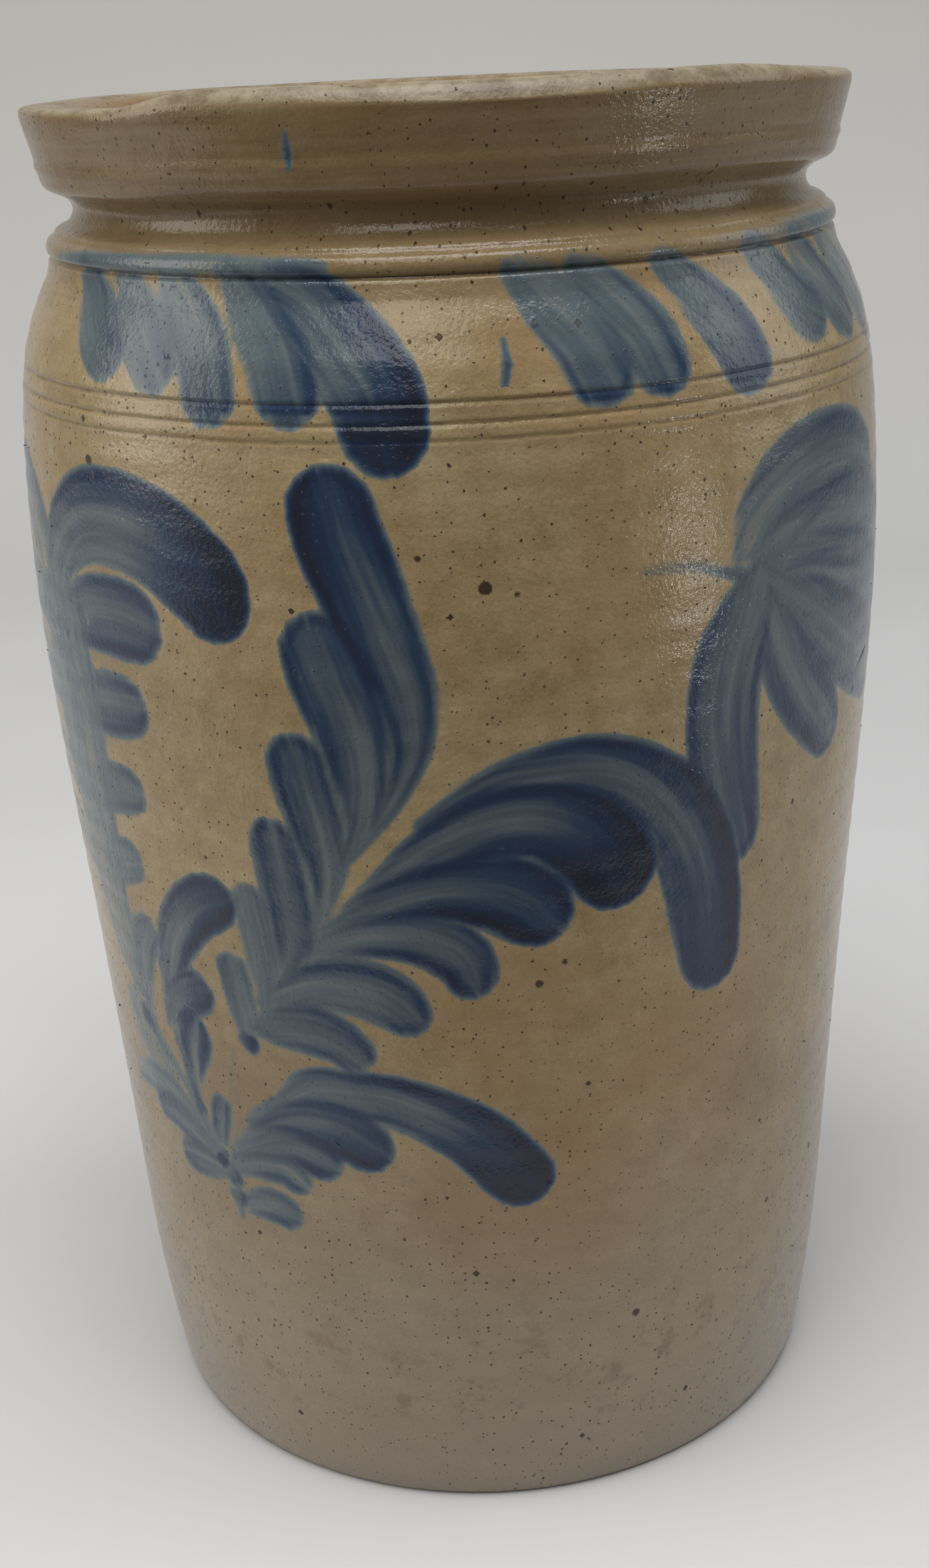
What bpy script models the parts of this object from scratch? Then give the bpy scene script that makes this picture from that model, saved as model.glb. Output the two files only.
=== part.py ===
"""Salt-glazed stoneware crock for fermenting, with the two half-round weights that hold the food down.

Metres, +Z up. The origin is the centre of the foot, on the surface the crock stands on.
The decorated front of the crock faces -Y.
"""
import math

import bmesh
import bpy
from mathutils import Vector

MM = 0.001

# Crock, outside. Each station is (height, radius) on the thrown wall.
HEIGHT = 400.0 * MM
FOOT_EDGE = 2.5 * MM
BODY_STATIONS = (
    (2.5 * MM, 103.0 * MM),
    (12.0 * MM, 105.6 * MM),
    (47.0 * MM, 109.8 * MM),
    (98.0 * MM, 113.2 * MM),
    (158.0 * MM, 117.3 * MM),
    (217.0 * MM, 121.8 * MM),
    (258.0 * MM, 124.0 * MM),
    (290.0 * MM, 123.9 * MM),
    (315.0 * MM, 122.3 * MM),
    (331.0 * MM, 119.7 * MM),
    (343.0 * MM, 115.6 * MM),
    (350.5 * MM, 111.8 * MM),
)

# Bead, tying groove and collar, from the shoulder up.
BEAD_RADIUS = 111.2 * MM
BEAD_BOTTOM = 353.0 * MM
BEAD_TOP = 359.3 * MM
FILLET_TOP_RADIUS = 106.8 * MM
FILLET_TOP = 362.2 * MM
GROOVE_RADIUS = 102.2 * MM
GROOVE_HEIGHT = 368.0 * MM
COLLAR_BOTTOM = 374.4 * MM
COLLAR_BOTTOM_RADIUS = 109.7 * MM
COLLAR_TOP = 394.8 * MM
COLLAR_TOP_RADIUS = 114.6 * MM
LIP_LAND_OUTER = 106.0 * MM
LIP_LAND_INNER = 101.5 * MM

# Crock, inside.
FLOOR = 14.0 * MM
FLOOR_CORNER = 14.0 * MM
INNER_STATIONS = (
    (28.0 * MM, 97.5 * MM),
    (60.0 * MM, 101.2 * MM),
    (120.0 * MM, 105.4 * MM),
    (190.0 * MM, 110.8 * MM),
    (250.0 * MM, 114.8 * MM),
    (300.0 * MM, 114.2 * MM),
    (330.0 * MM, 108.8 * MM),
    (350.0 * MM, 98.6 * MM),
    (366.0 * MM, 93.2 * MM),
    (384.0 * MM, 95.4 * MM),
    (396.0 * MM, 98.8 * MM),
)
ROUND_STEPS = 64
POINTS_PER_SPAN = 2

# Weights.
WEIGHT_RADIUS = 86.0 * MM
WEIGHT_THICKNESS = 28.0 * MM
WEIGHT_HALF_GAP = 3.0 * MM
WEIGHT_EDGE = 4.0 * MM
WEIGHT_ARC_STEPS = 28
FINGER_HOLE_RADIUS = 12.5 * MM
FINGER_HOLE_OFFSET = 38.0 * MM
FINGER_HOLE_STEPS = 20
RESTING_GAP = 0.3 * MM


def clear_scene():
    for thing in list(bpy.data.objects):
        bpy.data.objects.remove(thing, do_unlink=True)


def clay(name, colour, roughness):
    """A fired clay surface: colour and roughness only, never metallic."""
    material = bpy.data.materials.new(name)
    material.use_nodes = True
    shader = material.node_tree.nodes["Principled BSDF"]
    shader.inputs["Base Color"].default_value = (*colour, 1.0)
    shader.inputs["Roughness"].default_value = roughness
    shader.inputs["Metallic"].default_value = 0.0
    return material


def through(stations, points_per_span=POINTS_PER_SPAN):
    """Points on a Catmull-Rom curve through (height, radius) stations, as (radius, height)."""
    ends = [
        tuple(2 * a - b for a, b in zip(stations[0], stations[1])),
        *stations,
        tuple(2 * a - b for a, b in zip(stations[-1], stations[-2])),
    ]
    points = []
    for before, start, end, after in zip(ends, ends[1:], ends[2:], ends[3:]):
        for step in range(points_per_span):
            t = step / points_per_span
            height, radius = (
                0.5 * (2 * s + (e - b) * t + (2 * b - 5 * s + 4 * e - a) * t**2 + (3 * s - b - 3 * e + a) * t**3)
                for b, s, e, a in zip(before, start, end, after)
            )
            points.append((radius, height))
    points.append((stations[-1][1], stations[-1][0]))
    return points


def quarter(centre, radius, start_deg, end_deg, steps=4):
    """Points on an arc about centre, both ends included, as (radius, height)."""
    angles = [math.radians(start_deg + (end_deg - start_deg) * i / steps) for i in range(steps + 1)]
    return [(centre[0] + radius * math.cos(a), centre[1] + radius * math.sin(a)) for a in angles]


def crock_outline():
    """The half section, from the middle of the inner floor, over the lip and down to the middle of the foot."""
    floor_corner_centre = (INNER_STATIONS[0][1] - FLOOR_CORNER, FLOOR + FLOOR_CORNER)
    inside = quarter(floor_corner_centre, FLOOR_CORNER, -90, 0) + through(INNER_STATIONS)[1:]
    lip = [(LIP_LAND_INNER, HEIGHT), (LIP_LAND_OUTER, HEIGHT)]
    collar = [
        (COLLAR_TOP_RADIUS, COLLAR_TOP),
        (COLLAR_BOTTOM_RADIUS, COLLAR_BOTTOM),
    ]
    groove = through((
        (COLLAR_BOTTOM - 1.2 * MM, COLLAR_BOTTOM_RADIUS - 3.0 * MM),
        (GROOVE_HEIGHT, GROOVE_RADIUS),
        (FILLET_TOP, FILLET_TOP_RADIUS),
    ))
    bead = [(BEAD_RADIUS - 1.4 * MM, BEAD_TOP), (BEAD_RADIUS, BEAD_TOP - 1.5 * MM), (BEAD_RADIUS, BEAD_BOTTOM)]
    body = list(reversed(through(BODY_STATIONS)))
    foot = [(BODY_STATIONS[0][1] - FOOT_EDGE, 0.0), (0.0, 0.0)]
    return [(0.0, FLOOR)] + inside + lip + collar + groove + bead + body + foot


def turned(name, outline, material):
    """A round body: the half section at +X, spun about +Z by a Screw modifier."""
    mesh = bpy.data.meshes.new(name)
    points = [(radius, 0.0, height) for radius, height in outline]
    mesh.from_pydata(points, [(i, i + 1) for i in range(len(points) - 1)], [])
    thing = bpy.data.objects.new(name, mesh)
    bpy.context.scene.collection.objects.link(thing)
    screw = thing.modifiers.new("Turned", "SCREW")
    screw.axis = "Z"
    screw.steps = screw.render_steps = ROUND_STEPS
    screw.use_merge_vertices = True
    screw.merge_threshold = 0.00005
    screw.use_smooth_shade = True
    thing.data.materials.append(material)
    return thing


def half_round(name, side, material):
    """One weight: a half-round slab on side -1 (left) or +1 (right) of the split, with a finger hole through it."""
    mesh = bpy.data.meshes.new(name)
    build = bmesh.new()
    half_turn = math.pi / 2 - math.asin(WEIGHT_HALF_GAP / WEIGHT_RADIUS)
    corners = []
    for step in range(WEIGHT_ARC_STEPS + 1):
        angle = -half_turn + 2 * half_turn * step / WEIGHT_ARC_STEPS
        corners.append((side * WEIGHT_RADIUS * math.cos(angle), WEIGHT_RADIUS * math.sin(angle)))
    face = build.faces.new([build.verts.new((x, y, 0.0)) for x, y in corners])
    raised = bmesh.ops.extrude_face_region(build, geom=[face])
    top = [item for item in raised["geom"] if isinstance(item, bmesh.types.BMVert)]
    bmesh.ops.translate(build, vec=Vector((0.0, 0.0, WEIGHT_THICKNESS)), verts=top)
    bmesh.ops.recalc_face_normals(build, faces=build.faces)
    build.to_mesh(mesh)
    build.free()
    weight = bpy.data.objects.new(name, mesh)
    bpy.context.scene.collection.objects.link(weight)
    weight.location.z = FLOOR + RESTING_GAP
    weight.data.materials.append(material)
    pierce = weight.modifiers.new("Finger hole", "BOOLEAN")
    pierce.operation = "DIFFERENCE"
    pierce.object = finger_hole(name + "_hole", side)
    edge = weight.modifiers.new("Rounded edges", "BEVEL")
    edge.width = WEIGHT_EDGE
    edge.segments = 2
    edge.limit_method = "ANGLE"
    edge.angle_limit = math.radians(40)
    return weight


def finger_hole(name, side):
    """The tool that pierces a weight. It isn't part of the crock."""
    mesh = bpy.data.meshes.new(name)
    build = bmesh.new()
    bmesh.ops.create_cone(
        build,
        cap_ends=True,
        segments=FINGER_HOLE_STEPS,
        radius1=FINGER_HOLE_RADIUS,
        radius2=FINGER_HOLE_RADIUS,
        depth=WEIGHT_THICKNESS * 3,
    )
    build.to_mesh(mesh)
    build.free()
    tool = bpy.data.objects.new(name, mesh)
    bpy.context.scene.collection.objects.link(tool)
    tool.location = (side * FINGER_HOLE_OFFSET, 0.0, FLOOR + RESTING_GAP + WEIGHT_THICKNESS / 2)
    tool.hide_render = True
    tool.display_type = "WIRE"
    return tool


def main():
    clear_scene()
    salt_glaze = clay("salt_glazed_stoneware", (0.36, 0.29, 0.19), 0.42)
    bare_clay = clay("fired_clay", (0.42, 0.36, 0.28), 0.75)
    turned("crock", crock_outline(), salt_glaze)
    half_round("weight_left", -1, bare_clay)
    half_round("weight_right", 1, bare_clay)


main()
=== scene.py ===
"""Looks of a salt-glazed stoneware crock with brushed cobalt leaves, and of the two weights it holds.

The crock is planned flat and then thrown round. On the plan x is the arc round the pot in millimetres
at PLAN_RADIUS, zero at the front and growing to the right. y climbs the pot: from the middle of the foot
out to its edge it is negative, up the outside it is the height, and it goes on over the lip and down to
the inner floor. Each brush stroke is a spine on that plan, and the mesh is cut along its outline.
"""
import math
import random

import bmesh
import bpy
import numpy as np
from mathutils import Matrix, Vector
from mathutils.geometry import delaunay_2d_cdt


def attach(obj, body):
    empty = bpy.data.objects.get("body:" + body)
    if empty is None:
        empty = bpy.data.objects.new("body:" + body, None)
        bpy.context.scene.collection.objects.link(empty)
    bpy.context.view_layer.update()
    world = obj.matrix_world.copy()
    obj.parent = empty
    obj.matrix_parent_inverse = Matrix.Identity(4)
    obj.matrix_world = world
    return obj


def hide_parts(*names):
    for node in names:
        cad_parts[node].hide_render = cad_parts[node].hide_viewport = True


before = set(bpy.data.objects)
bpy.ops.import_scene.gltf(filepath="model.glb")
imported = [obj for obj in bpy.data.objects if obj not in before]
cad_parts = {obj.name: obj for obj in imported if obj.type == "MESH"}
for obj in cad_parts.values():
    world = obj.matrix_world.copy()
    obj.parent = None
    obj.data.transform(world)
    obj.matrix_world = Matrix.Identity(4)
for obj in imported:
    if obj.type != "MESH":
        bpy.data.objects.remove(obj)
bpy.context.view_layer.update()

MM = 0.001

# ---- Node expressions --------------------------------------------------------


class Value:
    """A socket in an expression. Each operator adds its Math node."""

    def __init__(self, tree, socket):
        self.tree = tree
        self.socket = socket

    def math(self, operation, *others):
        sockets = {0: self, **{i + 1: other for i, other in enumerate(others)}}
        return self.tree.node("ShaderNodeMath", {"operation": operation}, sockets)

    def __add__(self, other):
        return self.math("ADD", other)

    def __radd__(self, other):
        return self.math("ADD", other)

    def __sub__(self, other):
        return self.math("SUBTRACT", other)

    def __rsub__(self, other):
        return self.tree.node("ShaderNodeMath", {"operation": "SUBTRACT"}, {0: other, 1: self})

    def __mul__(self, other):
        return self.math("MULTIPLY", other)

    def __rmul__(self, other):
        return self.math("MULTIPLY", other)

    def __truediv__(self, other):
        return self.math("DIVIDE", other)

    def __abs__(self):
        return self.math("ABSOLUTE")

    def step(self, low, high, to_low=0.0, to_high=1.0):
        """A smooth step from to_low to to_high as this value goes from low to high."""
        sockets = {"Value": self, "From Min": low, "From Max": high, "To Min": to_low, "To Max": to_high}
        return self.tree.node("ShaderNodeMapRange", {"interpolation_type": "SMOOTHSTEP"}, sockets)

    def bell(self, centre, width):
        """1 at centre, falling smoothly to 0 at width either side."""
        return abs(self - centre).step(0.0, width, 1.0, 0.0)


class Tree:
    """Adds nodes to a shader or geometry tree."""

    def __init__(self, tree):
        self.tree = tree

    def node(self, kind, settings=None, sockets=None, output=0):
        """A node of this type: settings, then the values or links of its sockets. Returns an output."""
        made = self.tree.nodes.new(kind)
        for name, value in (settings or {}).items():
            if name == "stops":
                self.set_stops(made.color_ramp, value)
            else:
                setattr(made, name, value)
        for name, value in (sockets or {}).items():
            self.feed(self.input(made, name), value)
        shown = [socket for socket in made.outputs if socket.enabled]
        if not shown:
            return made
        chosen = shown[output] if isinstance(output, int) else made.outputs[output]
        return Value(self, chosen)

    @staticmethod
    def input(made, name):
        if isinstance(name, int):
            return [socket for socket in made.inputs if socket.enabled][name]
        return next(socket for socket in made.inputs if socket.enabled and socket.name == name)

    @staticmethod
    def set_stops(ramp, stops):
        while len(ramp.elements) < len(stops):
            ramp.elements.new(1.0)
        for element, (place, colour) in zip(ramp.elements, stops):
            element.position = place
            element.color = (*colour, 1.0)

    def feed(self, socket, value):
        if isinstance(value, Value):
            self.tree.links.new(value.socket, socket)
        elif isinstance(value, tuple) and socket.type == "RGBA" and len(value) == 3:
            socket.default_value = (*value, 1.0)
        else:
            socket.default_value = value

    def mix(self, first, second, share):
        settings = {"data_type": "RGBA", "clamp_factor": True}
        return self.node("ShaderNodeMix", settings, {0: share, "A": first, "B": second})

    def noise(self, place, scale, detail=2.0, roughness=0.5):
        sockets = {"Vector": place, "Scale": scale, "Detail": detail, "Roughness": roughness}
        return self.node("ShaderNodeTexNoise", {}, sockets)

    def stored(self, name, output="Vector"):
        """An attribute of the mesh, in a shader."""
        return self.node("ShaderNodeAttribute", {"attribute_name": name}, {}, output)

    def distance(self, first, second):
        return self.node("ShaderNodeVectorMath", {"operation": "DISTANCE"}, {0: first, 1: second}, "Value")

    def combine(self, x, y, z):
        return self.node("ShaderNodeCombineXYZ", {}, {0: x, 1: y, 2: z})

    def part(self, vector, axis):
        return self.node("ShaderNodeSeparateXYZ", {}, {0: vector}, output="XYZ".index(axis))

    def scaled(self, vector, factor):
        return self.node("ShaderNodeVectorMath", {"operation": "SCALE"}, {0: vector, "Scale": factor})

    def moved(self, vector, by):
        return self.node("ShaderNodeVectorMath", {"operation": "ADD"}, {0: vector, 1: by})

    def ramp(self, value, *stops):
        return self.node("ShaderNodeValToRGB", {"stops": stops}, {0: value})

    def bump(self, height, strength, distance, under=None):
        sockets = {"Height": height, "Strength": strength, "Distance": distance}
        if under is not None:
            sockets["Normal"] = under
        return self.node("ShaderNodeBump", {}, sockets)


def new_material(name):
    """An empty material. Returns it with its tree and its Object coordinates in millimetres."""
    material = bpy.data.materials.new(name)
    material.use_nodes = True
    material.node_tree.nodes.clear()
    tree = Tree(material.node_tree)
    return material, tree, tree.scaled(tree.node("ShaderNodeTexCoord", {}, {}, "Object"), 1 / MM)


def finish_material(tree, sockets):
    """Adds the Principled BSDF, with these values or links, and the output."""
    shader = tree.node("ShaderNodeBsdfPrincipled", {}, sockets)
    tree.node("ShaderNodeOutputMaterial", {}, {"Surface": shader})


# ---- The crock's half section, in millimetres --------------------------------

PLAN_RADIUS = 120.0
FOOT_RADIUS = 100.5

# (height, radius) up the outside: first the thrown wall, then the bead, groove and collar.
WALL = (
    (0.0, 100.5), (0.8, 102.2), (2.6, 103.1), (12.0, 105.4), (47.0, 109.6), (98.0, 113.0),
    (158.0, 117.0), (217.0, 121.4), (258.0, 123.5), (290.0, 123.4), (315.0, 121.9), (331.0, 119.5),
    (343.0, 115.4), (351.0, 111.4),
)
NECK = (
    (351.0, 111.4), (353.8, 110.6), (355.6, 110.2), (356.5, 108.6), (357.3, 110.3), (359.0, 110.7),
    (360.9, 110.0), (361.9, 108.4), (362.9, 107.9), (363.6, 107.1), (364.3, 105.2), (366.0, 103.3),
    (368.4, 102.4), (370.6, 102.9), (372.3, 104.6), (373.5, 107.0), (374.4, 109.1), (375.8, 110.2),
    (378.5, 110.9), (380.0, 111.6), (381.2, 111.3), (384.0, 112.0), (390.0, 113.5), (393.0, 114.2),
    (394.6, 114.3),
)
# (height, radius) over the lip and down the inside.
LIP = (
    (394.6, 114.3), (395.5, 113.4), (395.9, 111.4), (396.0, 108.6), (396.0, 105.8), (395.5, 103.4),
    (394.0, 101.2), (391.0, 99.2), (386.0, 97.0), (376.0, 94.2), (366.0, 93.3), (358.0, 95.0),
    (350.0, 98.8), (340.0, 103.9), (330.0, 108.6), (316.0, 112.6), (300.0, 114.2), (275.0, 114.9),
    (250.0, 114.8), (190.0, 110.8), (120.0, 105.4), (60.0, 101.2), (28.0, 97.5), (21.0, 95.6),
    (16.0, 90.6), (14.2, 84.0),
)
FLOOR = 14.0
FLOOR_FILLET = 12.0
FLOOR_RADIUS = LIP[-1][1]
FLAT_STEPS = 30

# The three rings cut into the shoulder: height, depth and half width.
RINGS = ((328.3, 0.6, 0.8), (323.4, 0.5, 0.8), (319.6, 0.3, 0.7))


def smooth_line(points, step):
    """Points about step apart on a Catmull-Rom curve through these, ends included."""
    points = np.array(points, float)
    ends = np.vstack([2 * points[0] - points[1], points, 2 * points[-1] - points[-2]])
    found = []
    for before, start, end, after in zip(ends, ends[1:], ends[2:], ends[3:]):
        count = max(1, round(float(np.linalg.norm((end - start)[:2])) / step))
        t = (np.arange(count) / count)[:, None]
        found.append(0.5 * (
            2 * start + (end - before) * t + (2 * before - 5 * start + 4 * end - after) * t**2
            + (3 * start - before - 3 * end + after) * t**3
        ))
    return np.vstack([*found, points[-1:]])


def half_section():
    """Arrays of y on the plan, radius and height, from the foot's middle to the inner floor's middle."""
    wall = smooth_line(WALL, 1.0)
    neck = smooth_line(NECK, 0.3)
    lip = smooth_line(LIP, 0.5)
    foot_y = np.linspace(-FOOT_RADIUS, -0.5, FLAT_STEPS)
    outside = np.vstack([wall[:-1], neck])
    run = np.concatenate([[0.0], np.cumsum(np.hypot(*np.diff(lip, axis=0).T))])
    floor_run = np.linspace(2.0, lip[-1, 1], FLAT_STEPS)
    top = outside[-1, 0]
    y = np.concatenate([foot_y, outside[:-1, 0], top + run, top + run[-1] + floor_run])
    radius = np.concatenate([foot_y + FOOT_RADIUS, outside[:-1, 1], lip[:, 1], lip[-1, 1] - floor_run])
    floor_height = np.interp(floor_run, [0.0, FLOOR_FILLET], [lip[-1, 0], FLOOR])
    height = np.concatenate([np.zeros(FLAT_STEPS), outside[:-1, 0], lip[:, 0], floor_height])
    return y, radius, height


SECTION = half_section()
TOP_OF_OUTSIDE = NECK[-1][0]
PLAN_TOP = float(SECTION[0][-1])


# Bands of the plan's rows as (from, to, spacing, columns): close together where the section turns.
BANDS = (
    (-FOOT_RADIUS, -4.0, 16.0, 60), (-2.0, 4.0, 1.0, 90), (5.0, 316.0, 2.6, 180),
    (316.5, 331.5, 0.5, 180), (332.5, 350.0, 1.6, 180), (351.0, 377.0, 0.6, 180),
    (378.5, 391.5, 1.6, 180), (392.0, 414.0, 1.0, 180), (416.0, 450.0, 2.5, 120),
    (452.5, PLAN_TOP - 82.0, 2.6, 90), (PLAN_TOP - 79.0, PLAN_TOP, 8.0, 60),
)


def plan_rows():
    """The plan's rows of points, each as its y and its number of columns round the pot."""
    rows = []
    for start, end, spacing, columns in BANDS:
        count = max(1, round((end - start) / spacing))
        rows += [(start + (end - start) * i / count, columns) for i in range(count + 1)]
    return rows


# ---- The brushwork -----------------------------------------------------------

# Each stroke: how much colour the brush carries, how much pools along the left and right edges and at
# the tip, and the spine from root to tip as (x, y, half the stroke's width).
FRONDS = (
    ((0.42, 0.15, 0.10, 0.05), ((-67, 149, 1.5), (-68.5, 155, 3.4), (-69.3, 163, 5.3), (-70.8, 174, 5.6))),
    ((0.42, 0.15, 0.25, 0.0), (
        (-61, 161, 1.2), (-60.2, 168, 3.2), (-60, 176, 4.9), (-60.6, 186, 5.3), (-61.8, 197, 5.4),
    )),
    ((0.5, 0.55, 0.25, 0.0), (
        (-55, 173, 1.2), (-51.8, 179, 3.2), (-49.5, 187, 6), (-49.3, 196, 7), (-50.6, 206, 7.3),
        (-51.8, 215.5, 6.8),
    )),
    ((0.5, 0.6, 0.3, 0.1), (
        (-42, 191, 1.2), (-38.5, 200, 3.4), (-37.2, 210, 6), (-38.6, 220, 7.6), (-41, 230, 8),
        (-42.8, 238.5, 8),
    )),
    ((0.55, 0.6, 0.35, 0.1), (
        (-31.5, 212, 1.2), (-28, 221, 3.5), (-26.2, 231, 6.5), (-26.5, 241, 8.5), (-28.5, 251, 9.8),
        (-32, 262, 10.8), (-34, 268.5, 10.2),
    )),
    ((0.5, 1.1, 0.6, 0.45), (
        (-30, 213, 1.2), (-20, 226, 2.2), (-13.5, 240, 4.5), (-12.7, 250, 6.5), (-14, 260, 8),
        (-18, 271, 9.2), (-22.5, 283, 10.5), (-27, 295, 11), (-29.5, 304, 10.5),
    )),
)
RIGHT_SPRAY = (
    ((0.65, 1.2, 0.2, 0.7), (
        (-12, 222, 2), (5, 233, 4), (18, 235.5, 6.5), (32, 235, 8.7), (45, 229, 10), (55, 218, 11.5),
        (62, 205, 12), (66, 190, 11.8), (68, 177, 10.5), (69, 172, 9.5),
    )),
    ((0.6, 0.6, 0.9, 1.1), (
        (-32, 198, 2), (-22, 206, 4), (-10, 214.5, 7), (4, 221, 9.5), (18, 222, 10.5), (30, 216, 12),
        (36, 209, 12), (37.5, 206, 11.5),
    )),
    ((0.5, 0.6, 1.2, 0.35), (
        (-42, 189, 2), (-32, 195, 4), (-20, 201, 6.5), (-6, 204, 8.5), (8, 202, 11), (15, 198, 11.2),
        (16, 197, 10.5),
    )),
    ((0.45, 0.5, 1.0, 0.15), (
        (-50, 182, 2), (-40, 186.5, 4), (-28, 190, 6), (-15, 190, 7.5), (-5, 186, 8.6),
        (-1.5, 181, 7.5), (-1, 179, 7),
    )),
    ((0.5, 0.45, 0.15, 0.05), (
        (-62, 166, 2), (-52, 171, 4.5), (-42, 174.5, 7.5), (-30, 174, 9), (-22, 170.5, 8.5),
        (-19, 167.5, 7),
    )),
    ((0.5, 0.45, 0.15, 0.05), (
        (-66, 157, 2), (-58, 159, 6), (-48, 160, 8), (-40, 158, 7.5), (-35, 154.5, 6.5),
    )),
)
LOWER_SPRAY = (
    ((0.55, 0.8, 0.35, 1.3), (
        (-72, 126, 2), (-60, 133, 4), (-48, 140, 7.5), (-36, 140.5, 7.8), (-24, 139.5, 8.3),
        (-10, 134, 9.3), (0, 127, 10), (8, 118, 10), (10.5, 115.5, 9.7),
    )),
    ((0.5, 0.35, 1.0, 0.35), (
        (-78, 117, 2), (-66, 123, 5), (-54, 129, 7.5), (-42, 129, 9), (-34, 125, 8.5),
    )),
    ((0.42, 0.3, 0.7, 0.2), (
        (-80, 112, 2), (-70, 117, 5), (-60, 121, 7), (-52, 120, 7.5), (-48.5, 118.5, 7),
    )),
    ((0.32, 0.2, 0.5, 0.0), ((-82, 106, 2), (-72, 111, 5), (-62, 112.5, 6), (-58, 110.5, 6))),
    ((0.42, 0.2, 0.4, 0.1), ((-82, 94.5, 2), (-75, 97, 4.5), (-67, 98.5, 6), (-62.5, 97.5, 5.7))),
)
LEFT_SPRIGS = (
    ((0.45, 0.4, 1.1, 0.6), (
        (-100, 152, 3), (-99, 160, 4), (-96, 170, 6), (-91, 180, 8), (-83, 189, 8.5), (-76, 193.5, 8.3),
        (-74.5, 194, 8),
    )),
    ((0.42, 0.2, 0.8, 0.3), ((-102, 148, 2), (-98, 155, 5), (-91, 161, 7.5), (-87, 163, 7.3))),
    ((0.42, 0.7, 0.7, 0.1), ((-93, 131, 2), (-92.5, 138, 4.5), (-91.5, 145, 7), (-90.5, 148, 7))),
    ((0.5, 0.2, 0.2, 0.9), ((-100, 146, 1.2), (-97, 136, 1.3), (-94, 126, 2.0), (-93, 123, 2.3))),
    ((0.36, 0.3, 0.3, 0.1), ((-85, 108, 2), (-85.5, 116, 3.5), (-84, 124, 4.3), (-83.3, 127, 4))),
    ((0.22, 0.0, 0.0, 0.0), ((-91, 108, 3), (-104, 119, 9), (-115, 132, 10), (-123, 147, 7))),
    ((0.3, 0.2, 0.1, 0.0), (
        (-86, 110, 2.5), (-98, 119, 5), (-112, 124, 6), (-126, 123, 4.5), (-131, 121.5, 3),
    )),
    ((0.34, 0.3, 0.1, 0.3), ((-84, 108, 2.5), (-95, 112, 5), (-107, 117, 6), (-114, 116.5, 5))),
    ((0.34, 0.3, 0.1, 0.2), ((-82, 104, 2.5), (-90, 105, 5), (-98, 105, 6), (-102, 104.5, 5.5))),
    ((0.28, 0.1, 0.1, 0.6), (
        (-86, 112, 2), (-97, 128, 2), (-107, 138, 2), (-113, 144, 2.6), (-116, 146.5, 3.4),
    )),
)
STEMS = (
    ((0.8, 0.4, 0.4, 0.3), ((-85, 110.5, 1.6), (-86, 108.5, 2.4))),
    ((0.7, 0.4, 0.4, 0.3), ((-84, 106, 1.4), (-81.5, 103, 2.6))),
    ((0.6, 0.3, 0.3, 0.5), ((-83.5, 98, 2.0), (-80.5, 97.5, 2.2))),
    ((0.35, 0.1, 0.1, 0.2), ((-81, 99, 1.8), (-81.5, 90.5, 1.0))),
    ((0.9, 0.4, 0.4, 0.5), ((-70, 152.5, 2.0), (-67.5, 151.5, 2.4))),
    ((0.25, 0.0, 0.0, 0.2), (
        (-75, 148, 1.0), (-77, 138, 1.2), (-76, 128, 1.0), (-79, 118, 0.9), (-82, 108, 1.2),
    )),
    ((0.22, 0.1, 0.1, 0.2), (
        (-97, 128, 1.5), (-110, 143, 1.6), (-118, 160, 1.8), (-125, 176, 2), (-128, 205, 2),
        (-128, 240, 2.2), (-131, 262, 2.4),
    )),
    ((0.3, 0.1, 0.1, 0.3), ((46, 284, 1.4), (58, 283.5, 1.6), (66, 281, 1.5), (74, 278.5, 1.6))),
    ((0.6, 0.1, 0.1, 0.0), ((92, 283.5, 0.8), (99, 287, 1.5), (114, 293, 2.0), (130, 294.5, 1.6))),
    ((0.7, 0.1, 0.1, 0.0), ((91, 276.5, 1.0), (99, 276.5, 2.0), (116, 274, 2.8), (136, 268, 2.0))),
    ((0.6, 0.1, 0.1, 0.0), ((90, 267.5, 1.0), (97, 260, 1.8), (108, 249.5, 2.2), (120, 239.5, 1.5))),
    ((0.6, 0.1, 0.1, 0.0), ((82, 264, 0.9), (84.5, 255, 1.5), (90, 242, 1.7))),
    ((0.9, 0.3, 0.3, 0.2), ((13.9, 341.5, 0.3), (14.4, 336, 0.7), (13.4, 331.5, 0.3))),
    ((0.8, 0.3, 0.3, 0.0), ((-37.6, 388, 0.3), (-37.9, 384, 0.8), (-38.2, 380, 0.4))),
)
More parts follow.
